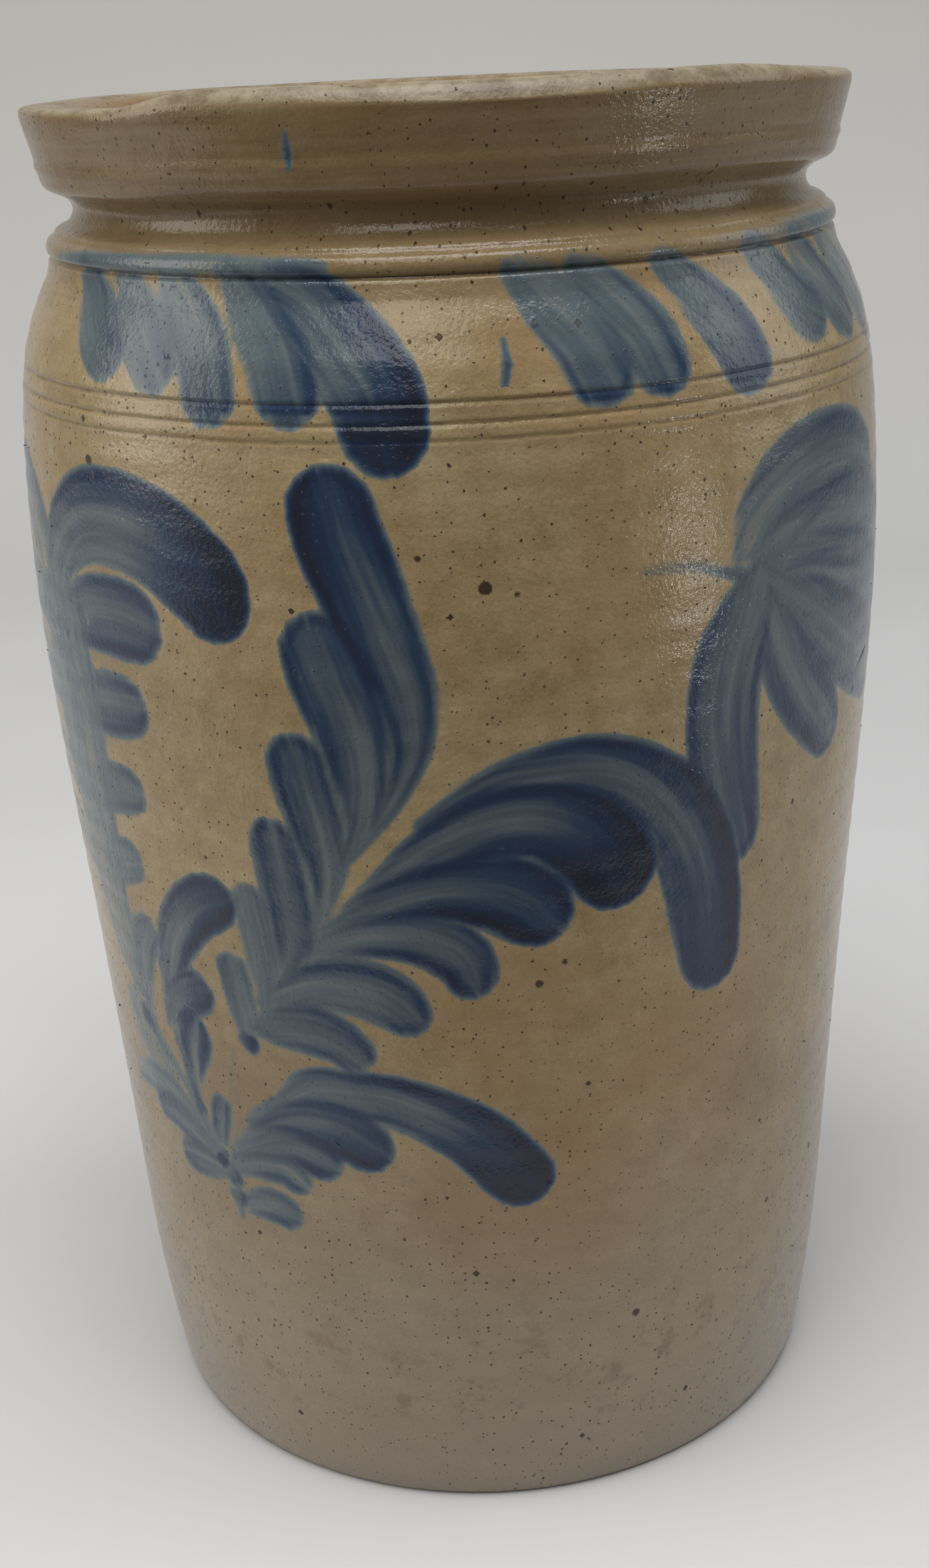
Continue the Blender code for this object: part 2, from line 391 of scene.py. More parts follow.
RIGHT_FLOWER = (
    ((0.26, 0.1, 0.1, 0.0), ((90, 274, 5), (98, 272, 14), (110, 270, 26), (122, 268, 30), (132, 268, 30))),
    ((0.45, 0.5, 0.2, 0.05), (
        (74, 283, 3), (82, 293, 9), (95, 300, 12), (112, 303, 11.5), (126, 301, 11), (135, 297, 9.5),
    )),
    ((0.4, 0.9, 0.1, 0.05), (
        (80, 282, 2.5), (94, 286, 8), (108, 286, 10.5), (124, 285, 11), (138, 282, 10.5), (149, 277, 9),
    )),
    ((0.42, 0.8, 0.4, 0.05), (
        (82, 279, 2.5), (96, 277, 7), (110, 274, 10), (125, 269, 12), (140, 263, 12), (152, 257, 10),
    )),
    ((0.45, 0.9, 0.5, 0.05), (
        (82, 277, 2.5), (94, 269, 7), (106, 261, 10), (120, 252, 12.5), (134, 244, 13), (147, 237, 12),
    )),
    ((0.5, 0.6, 0.8, 0.1), (
        (81, 273, 3), (87, 262, 8), (94, 250, 11), (102, 239.5, 11), (110, 231, 10), (113, 227.5, 8.8),
    )),
    ((0.62, 0.6, 0.7, 0.1), (
        (79, 278, 3), (76, 268, 9), (71.5, 257, 12), (69.5, 245, 11.8), (70, 232, 11.5),
        (72, 220, 10.5), (75, 210, 8.5), (76, 206, 7.2),
    )),
)
# The left flower's lobes lean right from a stem, and its far side repeats them mirrored.
LEFT_FLOWER_STEM = -131.0
LEFT_FLOWER = (
    ((0.5, 0.9, 0.1, 1.3), (
        (-130, 264, 5), (-125, 282, 9), (-112, 294, 12), (-97, 297, 13), (-80, 294, 13),
        (-66, 285, 12.5), (-62, 279, 10),
    )),
    ((0.5, 0.3, 0.9, 0.1), (
        (-128, 256, 5), (-118, 266, 8), (-106, 270, 10.5), (-94, 270.5, 11), (-90, 270, 10.5),
    )),
    ((0.48, 0.2, 0.6, 0.1), ((-128, 238, 5), (-117, 243, 8), (-106, 245, 9.5), (-97, 246, 8.8))),
    ((0.36, 0.2, 0.2, 0.05), ((-126, 212, 5), (-116, 218, 7.5), (-107, 220, 8), (-101.5, 220.5, 7))),
    ((0.36, 0.2, 0.1, 0.0), ((-124, 190, 5), (-116, 195.5, 7.5), (-108, 198, 6.8))),
    ((0.36, 0.1, 0.2, 0.0), ((-113, 150, 4), (-113, 162, 6), (-110, 172, 7.5), (-107, 176, 6.5))),
    ((0.3, 0.1, 0.1, 0.0), (
        (-119, 156, 4), (-124, 172, 9), (-126, 195, 13), (-127, 222, 16), (-127, 246, 17),
        (-128, 264, 15),
    )),
)
# Swags hang from the bead all the way round. Each petal is its tip's x and y, its width and its colour.
FRONT_SWAGS = (
    (-98.5, 331, 17, 0.42), (-79.5, 329, 16.5, 0.36), (-61, 322.5, 16.5, 0.42), (-39.5, 322.8, 18, 0.5),
    (37.5, 324.5, 19, 0.4), (54, 325.3, 16.5, 0.4),
    (111, 331, 17, 0.4), (131, 329, 18, 0.36), (152, 327, 18, 0.4),
)
FRONT_ENDS = (
    ((0.55, 1.0, 0.15, 1.0), (
        (-46, 357, 3), (-36, 352, 8), (-25, 341.5, 10.5), (-17.7, 331, 11.3), (-15.5, 321.7, 10),
    )),
    ((0.42, 0.5, 0.1, 0.4), ((60, 356, 4), (68, 348.5, 7), (76, 339.5, 8.6), (80.5, 331, 8.2))),
    ((0.5, 0.8, 0.1, 0.5), (
        (152, 357, 3), (162, 352, 8), (173, 342, 10), (180, 331, 10.5), (182, 323, 9.5),
    )),
)
BEAD_WASH = (
    ((0.3, 0.2, 0.2, 0.0), (
        (-142, 358.6, 1.2), (-120, 359, 2.2), (-90, 359.4, 2.6), (-60, 359.8, 2.6), (-31, 359.2, 1.4),
    )),
    ((0.25, 0.1, 0.1, 0.0), ((78, 359, 0.8), (100, 359.4, 2.0), (130, 359.4, 2.6), (160, 359, 1.6))),
)
# The swags on the back: where each starts, and how many short petals it has.
BACK_SWAGS = ((204.0, 3), (288.0, 3), (-362.0, 2), (-296.0, 2), (-232.0, 2))

# The petals of a swag start at the bead and lean right. The long one at its end carries most colour.
PETAL_LOAD = (0.25, 0.05, 0.12)
PETAL_PITCH = 17.5
BACK_END_LOAD = (0.5, 0.8, 0.1, 0.6)
# The far side of the left flower leaves out its two faintest strokes.
MIRRORED_LOBES = 5
MIRRORED_STRENGTH = 0.65
BRUSHWORK_SEED = 7

# How far the cut round a stroke lies outside it, and how many strokes may lie over each other.
EDGE_MARGIN = 2.0
LAYERS = 4
# Where there is no paint, a layer says that its stroke's edge is this far away.
NO_PAINT = -9.0
# The streaks of each stroke start this much farther on, so that no two strokes have the same ones.
STREAK_SHIFT = 61.7


def petal(tip_x, tip_y, width, colour):
    """A short stroke that hangs from the bead, leaning right, to a round tip."""
    half = width / 2
    spine = (
        (tip_x - 19, 357, 0.45 * half), (tip_x - 11, 349.5, 0.85 * half),
        (tip_x - 3.5, 341, 1.02 * half), (tip_x, tip_y + 0.95 * half, 0.95 * half),
    )
    return ((colour, *PETAL_LOAD), spine)


def back_swag(start, count, draw):
    """A swag of the same kind as the front ones: short petals, then a long dark one."""
    tips = [start + 20 + PETAL_PITCH * i for i in range(count)]
    swag = []
    for x in tips:
        swag.append(petal(x, draw.uniform(324, 331), draw.uniform(16, 18.5), draw.uniform(0.35, 0.5)))
    x = tips[-1] + 3
    swag.append((BACK_END_LOAD, ((x - 12, 356, 3), (x - 2, 350, 7), (x + 9, 340, 9), (x + 15, 328, 9))))
    return swag


def mirrored(strokes, about, strength):
    """The same strokes, fainter, on the other side of x = about. Left and right edges change places."""
    return [
        (
            tuple(strength * part for part in (colour, right, left, tip)),
            tuple((2 * about - x, y, half) for x, y, half in spine),
        )
        for (colour, left, right, tip), spine in strokes
    ]


def all_strokes():
    """Every stroke in the order it was painted."""
    draw = random.Random(BRUSHWORK_SEED)
    swags = [petal(*tip) for tip in FRONT_SWAGS]
    for start, count in BACK_SWAGS:
        swags += back_swag(start, count, draw)
    far_side = mirrored(LEFT_FLOWER[:MIRRORED_LOBES], LEFT_FLOWER_STEM, MIRRORED_STRENGTH)
    return [
        *BEAD_WASH, *swags, *FRONT_ENDS, *far_side, *LEFT_FLOWER, *RIGHT_FLOWER,
        *LEFT_SPRIGS, *LOWER_SPRAY, *RIGHT_SPRAY, *FRONDS, *STEMS,
    ]


class Spine:
    """A stroke's spine as short straight runs, and where any point of the plan lies beside it."""

    def __init__(self, load, points):
        self.load = load
        line = smooth_line(points, 2.2)
        self.places = line[:, :2]
        self.half = np.maximum(line[:, 2], 0.3)
        self.runs = np.diff(self.places, axis=0)
        self.lengths = np.hypot(*self.runs.T)
        self.ways = self.runs / self.lengths[:, None]
        self.along = np.concatenate([[0.0], np.cumsum(self.lengths)])
        reach = self.half.max() + EDGE_MARGIN + 1.0
        self.low = self.places.min(axis=0) - reach
        self.high = self.places.max(axis=0) + reach

    def beside(self, points):
        """For each point: its distance along, across (left is positive) and inside the edge."""
        offset = points[:, None] - self.places[None, :-1]
        share = np.clip((offset * self.runs).sum(-1) / self.lengths**2, 0.0, 1.0)
        rest = offset - share[..., None] * self.runs
        half = self.half[:-1] + share * np.diff(self.half)
        inside = half - np.hypot(rest[..., 0], rest[..., 1])
        best = inside.argmax(axis=1)
        pick = np.arange(len(points))
        way, rest = self.ways[best], rest[pick, best]
        along = self.along[best] + share[pick, best] * self.lengths[best] + (rest * way).sum(-1)
        across = way[:, 0] * rest[:, 1] - way[:, 1] * rest[:, 0]
        return along, across, inside[pick, best]

    def rail(self, share, margin=0.0):
        """Points that run beside the spine, at this share of its half width, plus a margin."""
        ways = np.vstack([self.ways[:1], self.ways[:-1] + self.ways[1:], self.ways[-1:]])
        ways /= np.hypot(*ways.T)[:, None]
        normals = np.stack([-ways[:, 1], ways[:, 0]], axis=1)
        return self.places + normals * (share * self.half + margin)[:, None]

    def cap(self, end, way):
        """Points on the half circle that rounds off an end, from its right side to its left."""
        radius = self.half[end] + EDGE_MARGIN
        facing = math.atan2(way[1], way[0])
        angles = facing + np.radians(np.arange(-60, 61, 30))
        return self.places[end] + radius * np.stack([np.cos(angles), np.sin(angles)], axis=1)

    def outline(self):
        """The closed line round the stroke, a little outside the paint, anticlockwise."""
        right = self.rail(-1.0, -EDGE_MARGIN)
        left = self.rail(1.0, EDGE_MARGIN)
        return np.vstack([right, self.cap(-1, self.ways[-1]), left[::-1], self.cap(0, -self.ways[0])])


# ---- The crock's mesh --------------------------------------------------------


# How proud the throwing ridges stand on the wall, on the neck and inside.
OUTER_RIDGE = 0.10
NECK_RIDGE = 0.04
INNER_RIDGE = 0.45
NECK_START = 345
# The worn corner of the lip dips over this much of the section.
LIP_CORNER = 394.8
LIP_CORNER_REACH = 2.5
# Points closer than this are one point, in metres.
SAME_PLACE = 0.00002


def rising(values, start, length):
    """0 up to start, then a straight rise to 1 over this length."""
    return np.clip((values - start) / length, 0, 1)


def flat_plan(spines):
    """Points and triangles of the unrolled pot, cut along every stroke's outline."""
    edge = math.pi * PLAN_RADIUS
    points = []
    edges = []
    sides = {-1: [], 1: []}
    for y, columns in plan_rows():
        xs = np.linspace(-edge, edge, columns + 1)
        points += [(x, y) for x in xs]
        sides[-1].append(len(points) - len(xs))
        sides[1].append(len(points) - 1)
        if RINGS[2][0] - 3 < y < RINGS[0][0] + 3 or y > WALL[-1][0] or y < 5:
            edges += [(i, i + 1) for i in range(len(points) - len(xs), len(points) - 1)]
    for column in sides.values():
        edges += list(zip(column, column[1:]))
    for spine in spines:
        loop = spine.outline()
        first = len(points)
        points += [tuple(place) for place in loop]
        edges += [(first + i, first + (i + 1) % len(loop)) for i in range(len(loop))]
        for share in (-0.55, 0.0, 0.55):
            points += [tuple(place) for place in spine.rail(share)]
    placed, _, triangles, _, _, _ = delaunay_2d_cdt([Vector(p) for p in points], edges, [], 0, 1e-4, False)
    return np.array([tuple(p) for p in placed]), np.array([tuple(t) for t in triangles])


def painted_corners(points, triangles, spines):
    """What each layer of paint says at the triangles' corners.

    A trace is how far the corner lies along the stroke, across it and inside its edge. A load is the
    stroke's colour and how much has pooled on the left, on the right and at the tip. Both go by layer,
    face and corner, and the last stroke painted is in layer 0.
    """
    traces = np.zeros((LAYERS, len(triangles), 3, 3))
    traces[..., 2] = NO_PAINT
    loads = np.zeros((LAYERS, len(triangles), 3, 4))
    used = np.zeros(len(triangles), int)
    middles = points[triangles].mean(axis=1)
    for number, spine in reversed(list(enumerate(spines))):
        boxed = ((middles > spine.low) & (middles < spine.high)).all(axis=1)
        near = np.flatnonzero(boxed & (used < LAYERS))
        if not len(near):
            continue
        near = near[spine.beside(middles[near])[2] > -EDGE_MARGIN]
        along, across, inside = spine.beside(points[triangles[near]].reshape(-1, 2))
        colour, left, right, tip = spine.load
        run = np.clip(along / spine.along[-1], 0.0, 1.0)
        side_pool = rising(run, 0.1, 0.5)
        tip_pool = rising(run, 0.62, 0.38)**1.5
        layer = used[near]
        trace = np.stack([along + STREAK_SHIFT * number, across, inside], axis=-1)
        traces[layer, near] = trace.reshape(-1, 3, 3)
        load = np.stack([
            np.full(len(run), colour) * (0.75 + 0.25 * run), left * side_pool, right * side_pool,
            tip * tip_pool,
        ], axis=-1)
        loads[layer, near] = load.reshape(-1, 3, 4)
        used[near] += 1
    return traces, loads


def store(mesh, name, kind, values):
    """Adds an attribute at the mesh's corners, or at its points where the kind is FLOAT."""
    domain, field = {
        "FLOAT_VECTOR": ("CORNER", "vector"),
        "FLOAT_COLOR": ("CORNER", "color"),
        "FLOAT": ("POINT", "value"),
    }[kind]
    attribute = mesh.attributes.new(name, kind, domain)
    attribute.data.foreach_set(field, values.ravel().astype(np.float32))


def flat_mesh():
    """The plan as a mesh in millimetres, with its section and its paint as attributes."""
    spines = [Spine(load, points) for load, points in all_strokes()]
    points, triangles = flat_plan(spines)
    mesh = bpy.data.meshes.new("flat_crock")
    places = np.column_stack([points, np.zeros(len(points))])
    mesh.from_pydata(places.tolist(), [], triangles.tolist())
    corner_points = np.empty(len(mesh.loops), int)
    mesh.loops.foreach_get("vertex_index", corner_points)
    traces, loads = painted_corners(points, corner_points.reshape(-1, 3), spines)
    for layer in range(LAYERS):
        store(mesh, f"trace_{layer}", "FLOAT_VECTOR", traces[layer])
        store(mesh, f"load_{layer}", "FLOAT_COLOR", loads[layer])
    x, y = points.T
    radius = np.interp(y, SECTION[0], SECTION[1])
    store(mesh, "plan", "FLOAT_VECTOR", unstretched(x, y, radius)[corner_points])
    for level, depth, half in RINGS:
        radius -= depth * np.clip(1 - np.abs(y - level) / half, 0, 1)
    store(mesh, "radius", "FLOAT", radius)
    store(mesh, "height", "FLOAT", np.interp(y, SECTION[0], SECTION[2]))
    store(mesh, "ridge", "FLOAT", ridge_height(y, radius))
    store(mesh, "rise", "FLOAT", share_of_lip_rise(y))
    store(mesh, "corner", "FLOAT", np.clip(1 - np.abs(y - LIP_CORNER) / LIP_CORNER_REACH, 0, 1))
    return mesh


def unstretched(x, y, radius):
    """The plan's places, with the foot and the inner floor laid out round instead of stretched."""
    turned = x / PLAN_RADIUS
    flat = (y < 0) | (y > PLAN_TOP - FLOOR_RADIUS)
    across = np.where(flat, radius * np.sin(turned), x)
    up = np.where(flat, radius * np.cos(turned), y)
    return np.column_stack([across, up, 0 * y])


def ridge_height(y, radius):
    """How proud the throwing ridges stand: faint outside, strong inside and none at the very middle."""
    indoors = np.clip((y - TOP_OF_OUTSIDE - 40) / 20, 0, 1) * np.clip((PLAN_TOP - 85 - y) / 20, 0, 1)
    outdoors = np.where(y < NECK_START, OUTER_RIDGE * rising(y, 8, 20), NECK_RIDGE)
    return (outdoors + indoors * INNER_RIDGE) * np.clip(radius / 10, 0, 1)


def share_of_lip_rise(y):
    """How much of the lip's rise each height takes part in: half by the collar, all at the lip."""
    rise = 0.5 * rising(y, 364, 12) + 0.5 * rising(y, 391, 8)
    return rise * (1 - rising(y, 405, 25))


class Shaping(Tree):
    """A geometry tree with named inputs for its sizes, and one for the finish of what it makes."""

    def __init__(self, name, taken, sizes):
        self.group = bpy.data.node_groups.new(name, "GeometryNodeTree")
        super().__init__(self.group)
        self.ask(taken, "NodeSocketGeometry")
        for size, value in sizes.items():
            self.ask(size, "NodeSocketFloat").default_value = value
        self.finish = self.ask("Finish", "NodeSocketMaterial").identifier
        self.group.interface.new_socket("Made", in_out="OUTPUT", socket_type="NodeSocketGeometry")
        self.given = self.group.nodes.new("NodeGroupInput")

    def ask(self, name, kind):
        return self.group.interface.new_socket(name, in_out="INPUT", socket_type=kind)

    def asked(self, name):
        return Value(self, self.given.outputs[name])

    def measured(self, name):
        """A number that the mesh holds at each point."""
        sockets = {"Name": name}
        return self.node("GeometryNodeInputNamedAttribute", {"data_type": "FLOAT"}, sockets, "Attribute")

    def chance(self, low, high, seed):
        """A random number or vector for each point, from low to high."""
        kind = "FLOAT_VECTOR" if isinstance(low, tuple) else "FLOAT"
        sockets = {"Min": low, "Max": high, "Seed": seed}
        return self.node("FunctionNodeRandomValue", {"data_type": kind}, sockets, "Value")

    def give(self, geometry):
        """Ends the tree: plain geometry in the asked finish."""
        whole = self.node("GeometryNodeRealizeInstances", {}, {"Geometry": geometry})
        dress = {"Geometry": whole, "Material": self.asked("Finish")}
        dressed = self.node("GeometryNodeSetMaterial", {}, dress)
        end = self.group.nodes.new("NodeGroupOutput")
        self.group.links.new(dressed.socket, end.inputs[0])


def throwing_tree():
    """Geometry nodes that turn the flat plan round the wheel. Inputs in millimetres."""
    tree = Shaping("Throw on the wheel", "Plan", {
        "Plan radius": PLAN_RADIUS, "Lip rise": 3.9, "Out of round": 0.5, "Ridge pitch": 8.5, "Scale": MM,
    })
    asked, measured = tree.asked, tree.measured
    plan = tree.node("GeometryNodeInputPosition")
    angle = tree.part(plan, "X") / asked("Plan radius")
    y = tree.part(plan, "Y")
    around = tree.combine(angle.math("SINE"), angle.math("COSINE") * -1.0, 0.0)
    slow = tree.noise(tree.moved(tree.scaled(around, 0.55), tree.combine(3.1, 1.7, y * 0.004)), 1.0, 1.0)
    turn = y / asked("Ridge pitch") + angle * (0.5 / math.pi)
    wander = tree.noise(tree.moved(around, tree.combine(0.0, 0.0, y * 0.03)), 1.0, 2.0)
    ridges = (turn * math.tau + wander * 7.0).math("SINE") * measured("ridge") * (0.4 + wander)
    radius = measured("radius")
    body = radius * (1.0 / PLAN_RADIUS)
    round_off = asked("Out of round") * body * (slow - 0.62)
    reach = radius + round_off.math("MINIMUM", 0.0) + ridges
    # The lip rises across the front, from the left to the right edge of these two slopes.
    left_slope = angle.step(math.radians(-47), math.radians(-29))
    right_slope = angle.step(math.radians(40), math.radians(74))
    front = left_slope * (1.0 - right_slope)
    dip = 0.35 + 0.55 * angle.bell(math.radians(8), math.radians(26))
    uneven = tree.noise(tree.moved(tree.scaled(around, 2.4), tree.combine(0.0, 0.0, 5.0)), 1.0, 1.0) - 0.5
    highest = front * asked("Lip rise") + uneven * 0.9 - 0.2
    lift = measured("rise") * (1.0 - measured("corner") * dip) * highest
    place = tree.moved(tree.scaled(around, reach), tree.combine(0.0, 0.0, measured("height") + lift))
    position = tree.scaled(place, asked("Scale"))
    shaped = tree.node("GeometryNodeSetPosition", {}, {"Geometry": asked("Plan"), "Position": position})
    joined = tree.node("GeometryNodeMergeByDistance", {}, {"Geometry": shaped, "Distance": SAME_PLACE})
    tree.give(tree.node("GeometryNodeSetShadeSmooth", {}, {"Geometry": joined}))
    return tree


def placed(name, mesh):
    """An object with this mesh, in the scene."""
    thing = bpy.data.objects.new(name, mesh)
    bpy.context.scene.collection.objects.link(thing)
    return thing


def finished(thing):
    """The plain mesh that an object's modifiers make. The object is then removed."""
    ready = bpy.context.evaluated_depsgraph_get()
    made = bpy.data.meshes.new_from_object(thing.evaluated_get(ready), depsgraph=ready)
    bpy.data.objects.remove(thing)
    return made


def grown(name, mesh, tree, material):
    """A plain mesh object named name: this mesh put through the geometry tree."""
    seedling = placed(name + "_seedling", mesh)
    modifier = seedling.modifiers.new(tree.group.name, "NODES")
    modifier.node_group = tree.group
    modifier[tree.finish] = material
    made = finished(seedling)
    made.name = name
    return placed(name, made)


# ---- Finishes ----------------------------------------------------------------

# How much of the older paint a stroke hides.
HIDING = 0.8
# Iron that bled through the clay: the x and y of each spot on the plan, and its radius.
IRON_SPOTS = (
    (7.0, 284.4, 1.7), (22.5, 345.4, 1.2), (-8.5, 292.4, 0.9), (14.5, 282.4, 0.8), (17.5, 175.4, 1.2),
    (24.5, 181.0, 0.9), (-103.0, 311.4, 1.5), (-102.0, 307.5, 1.1), (47.0, 62.4, 1.3),
    (-30.0, 372.0, 0.8),
)
# Specks too small and many to name: the pitch of each size, and the biggest of them.
SPECK_SIZES = ((34.0, 1.1), (8.0, 0.52), (3.2, 0.42))
# Where the flame licked the front orange: its x and y on the plan.
LICKED = (25.0, 140.0, 0.0)

STONEWARE = (
    (0.32, (0.200, 0.142, 0.068)), (0.44, (0.290, 0.215, 0.110)),
    (0.54, (0.360, 0.276, 0.152)), (0.68, (0.450, 0.365, 0.225)),
)
COBALT = (
    (0.0, (0.160, 0.185, 0.178)), (0.11, (0.110, 0.150, 0.166)), (0.25, (0.055, 0.086, 0.120)),
    (0.40, (0.013, 0.042, 0.092)), (0.58, (0.003, 0.023, 0.068)), (0.76, (0.002, 0.016, 0.050)),
    (1.0, (0.002, 0.010, 0.032)),
)
PALE_TURNING = (0.46, 0.37, 0.22)
DARK_TURNING = (0.17, 0.10, 0.045)
FLASHED = (0.33, 0.19, 0.085)
ASHEN = (0.250, 0.208, 0.162)
# Darker brown for the toasted belly, and for the painted shade above the shoulder.
TOASTED_AND_SHADED = (0.135, 0.085, 0.040)
FLAME_ORANGE = (0.33, 0.185, 0.075)
FOOT_STAIN = (0.155, 0.090, 0.065)
GRIMY_LIP = (0.12, 0.10, 0.07)
RUBBED_LIP = (0.31, 0.275, 0.205)
INSIDE_BROWN = (0.30, 0.165, 0.085)
# Brown for grime in the shoulder's rings, which also stands in for painted shade there.
GROOVE_GRIME_AND_SHADE = (0.125, 0.080, 0.045)
IRON = (0.040, 0.020, 0.010)
IRON_IN_BLUE = (0.03, 0.02, 0.015)
GLAZE_IOR = 1.42


def brushed_cobalt(tree, height):
    """How much cobalt lies at each place. Each stroke hides most of what was painted under it."""
    total = 0.0
    for layer in reversed(range(LAYERS)):
        trace = tree.stored(f"trace_{layer}")
        along, across, inside = (tree.part(trace, axis) for axis in "XYZ")
        load = tree.stored(f"load_{layer}", "Color")
        colour, left, right = (tree.part(load, axis) for axis in "XYZ")
        tip = tree.stored(f"load_{layer}", "Alpha")
        wobble = tree.noise(tree.combine(along, across, 0.0), 0.25, 3.0, 0.6) - 0.5
        edge = inside + wobble * 1.3
        painted = edge.step(-1.5, 2.4)
        half = (abs(across) + inside).math("MAXIMUM", 0.5)
        share = across / half
        fine = tree.noise(tree.combine(along * 0.03, across * 0.6, 3.0), 1.0, 2.0, 0.5)
        broad = tree.noise(tree.combine(along * 0.02, across * 0.24, 9.0), 1.0, 1.0)
        streaks = fine.step(0.32, 0.68) * 0.35 + broad.step(0.34, 0.66) * 0.65
        line = edge.bell(2.2, 2.2) * 0.4
        left_pool = (share.step(0.0, 0.85) + share.step(0.3, 0.6) * line) * left
        other = share * -1.0
        right_pool = (other.step(0.0, 0.85) + other.step(0.3, 0.6) * line) * right
        rim = edge.step(0.6, 4.6, 1.0, 0.0) * colour * colour * broad.step(0.35, 0.65)
        body = colour * (0.48 + 0.8 * streaks)
        pools = (left_pool + right_pool) * (0.45 + 0.6 * broad) + tip * (0.9 + 0.4 * broad)
        total = total * (1.0 - painted * HIDING) + (body + pools + rim) * painted
    ring_pool = height.bell(RINGS[0][0] - 1.0, 1.9) + height.bell(RINGS[1][0] - 1.4, 2.2)
    return total * (1.0 + ring_pool * 0.9)


def stoneware(tree, place, clouds, mottle):
    """The clay as it came from the kiln: mottled, turned, flashed and toasted, with painted shade above
    the shoulder.
    """
    height = tree.part(place, "Z")
    grain = tree.noise(place, 1.2, 3.0, 0.7)
    clay = tree.ramp(clouds * 0.32 + mottle * 0.42 + grain * 0.26, *STONEWARE)
    x, y = tree.part(place, "X"), tree.part(place, "Y")
    turning = tree.noise(tree.combine(x * 0.015, y * 0.015, height * 0.45), 1.0, 3.0)
    shown = 0.06 + 0.4 * height.step(335.0, 372.0)
    clay = tree.mix(clay, PALE_TURNING, turning.step(0.5, 0.75) * shown)
    clay = tree.mix(clay, DARK_TURNING, turning.step(0.5, 0.28) * shown)
    flash = tree.noise(tree.moved(place, (40.0, 0.0, 0.0)), 0.012, 2.0).step(0.45, 0.62)
    clay = tree.mix(clay, FLASHED, flash * height.step(150.0, 390.0) * 0.35)
    clay = tree.mix(clay, ASHEN, height.step(170.0, 10.0) * 0.8)
    # Painted shade: from the top of the shoulder up, the clay is darkened where the collar leans out and
    # down, away from the light above.
    shaded_collar = height.step(338.0, 372.0) * (0.45 + 0.5 * clouds)
    toasted_belly = height.bell(125.0, 85.0) * clouds.step(0.35, 0.6) * 0.6
    return tree.mix(clay, TOASTED_AND_SHADED, (shaded_collar + toasted_belly) * 0.75)


def lip_wear(path):
    """How far each place on the plan lies on the worn land of the lip."""
    return path.step(394.0, 396.0) * path.step(405.0, 409.0, 1.0, 0.0)


def marked(tree, clay, place, plan, clouds, mottle):
    """The clay with the marks of flame, use and time on it, and painted shade in the rings round the
    shoulder.
    """
    height = tree.part(place, "Z")
    path = tree.part(plan, "Y")
    lick = tree.distance(plan, LICKED).step(85.0, 10.0, 0.0, 1.0) * clouds.step(0.3, 0.6)
    clay = tree.mix(clay, FLAME_ORANGE, lick * 0.45)
    stain = tree.noise(place, 0.12, 4.0, 0.7).step(0.52, 0.68) * height.bell(45.0, 42.0)
    clay = tree.mix(clay, FOOT_STAIN, stain * 0.45)
    land = tree.mix(GRIMY_LIP, RUBBED_LIP, mottle.step(0.35, 0.6))
    clay = tree.mix(clay, land, lip_wear(path) * 0.6)
    clay = tree.mix(clay, INSIDE_BROWN, path.step(405.0, 412.0) * 0.65)
    # Grime in the rings round the shoulder, and painted shade: the darkening along each ring stands in for
    # the shadow in its groove.
    groove_grime_and_shade = sum(height.bell(ring[0], width) for ring, width in zip(RINGS, (1.3, 1.3, 1.0)))
    return tree.mix(clay, GROOVE_GRIME_AND_SHADE, groove_grime_and_shade * mottle.step(0.35, 0.65) * 0.7)


def iron_specks(tree, plan, clouds):
    """1 on a speck or spot of iron and 0 off it. The plan is shaken, so that none is quite round."""
    shake = tree.node("ShaderNodeTexNoise", {}, {"Vector": plan, "Scale": 1.9}, "Color")
    shaken = tree.moved(plan, tree.scaled(shake, 0.9))
    dots = {"voronoi_dimensions": "2D", "distance": "MANHATTAN"}
    specks = 0.0
    for pitch, biggest in SPECK_SIZES:
        cells = {"Vector": shaken, "Scale": 1 / pitch}
        near = tree.node("ShaderNodeTexVoronoi", dots, cells, "Distance")
        pick = tree.node("ShaderNodeTexVoronoi", dots, cells, "Color")
        lucky = (tree.part(pick, "X") - 0.3).math("MAXIMUM", 0.0)
        reach = lucky * (0.35 + 1.5 * clouds) * (biggest / 0.7)
        specks = (near * pitch - reach).step(-0.2, 0.1, 1.0, 0.0) * reach.step(0.02, 0.1) + specks
    for x, y, size in IRON_SPOTS:
        away = tree.distance(shaken, (x, y, 0.0))
        specks = away.step(size - 0.3, size + 0.3, 1.0, 0.0) + specks
    return specks.math("MINIMUM", 1.0)


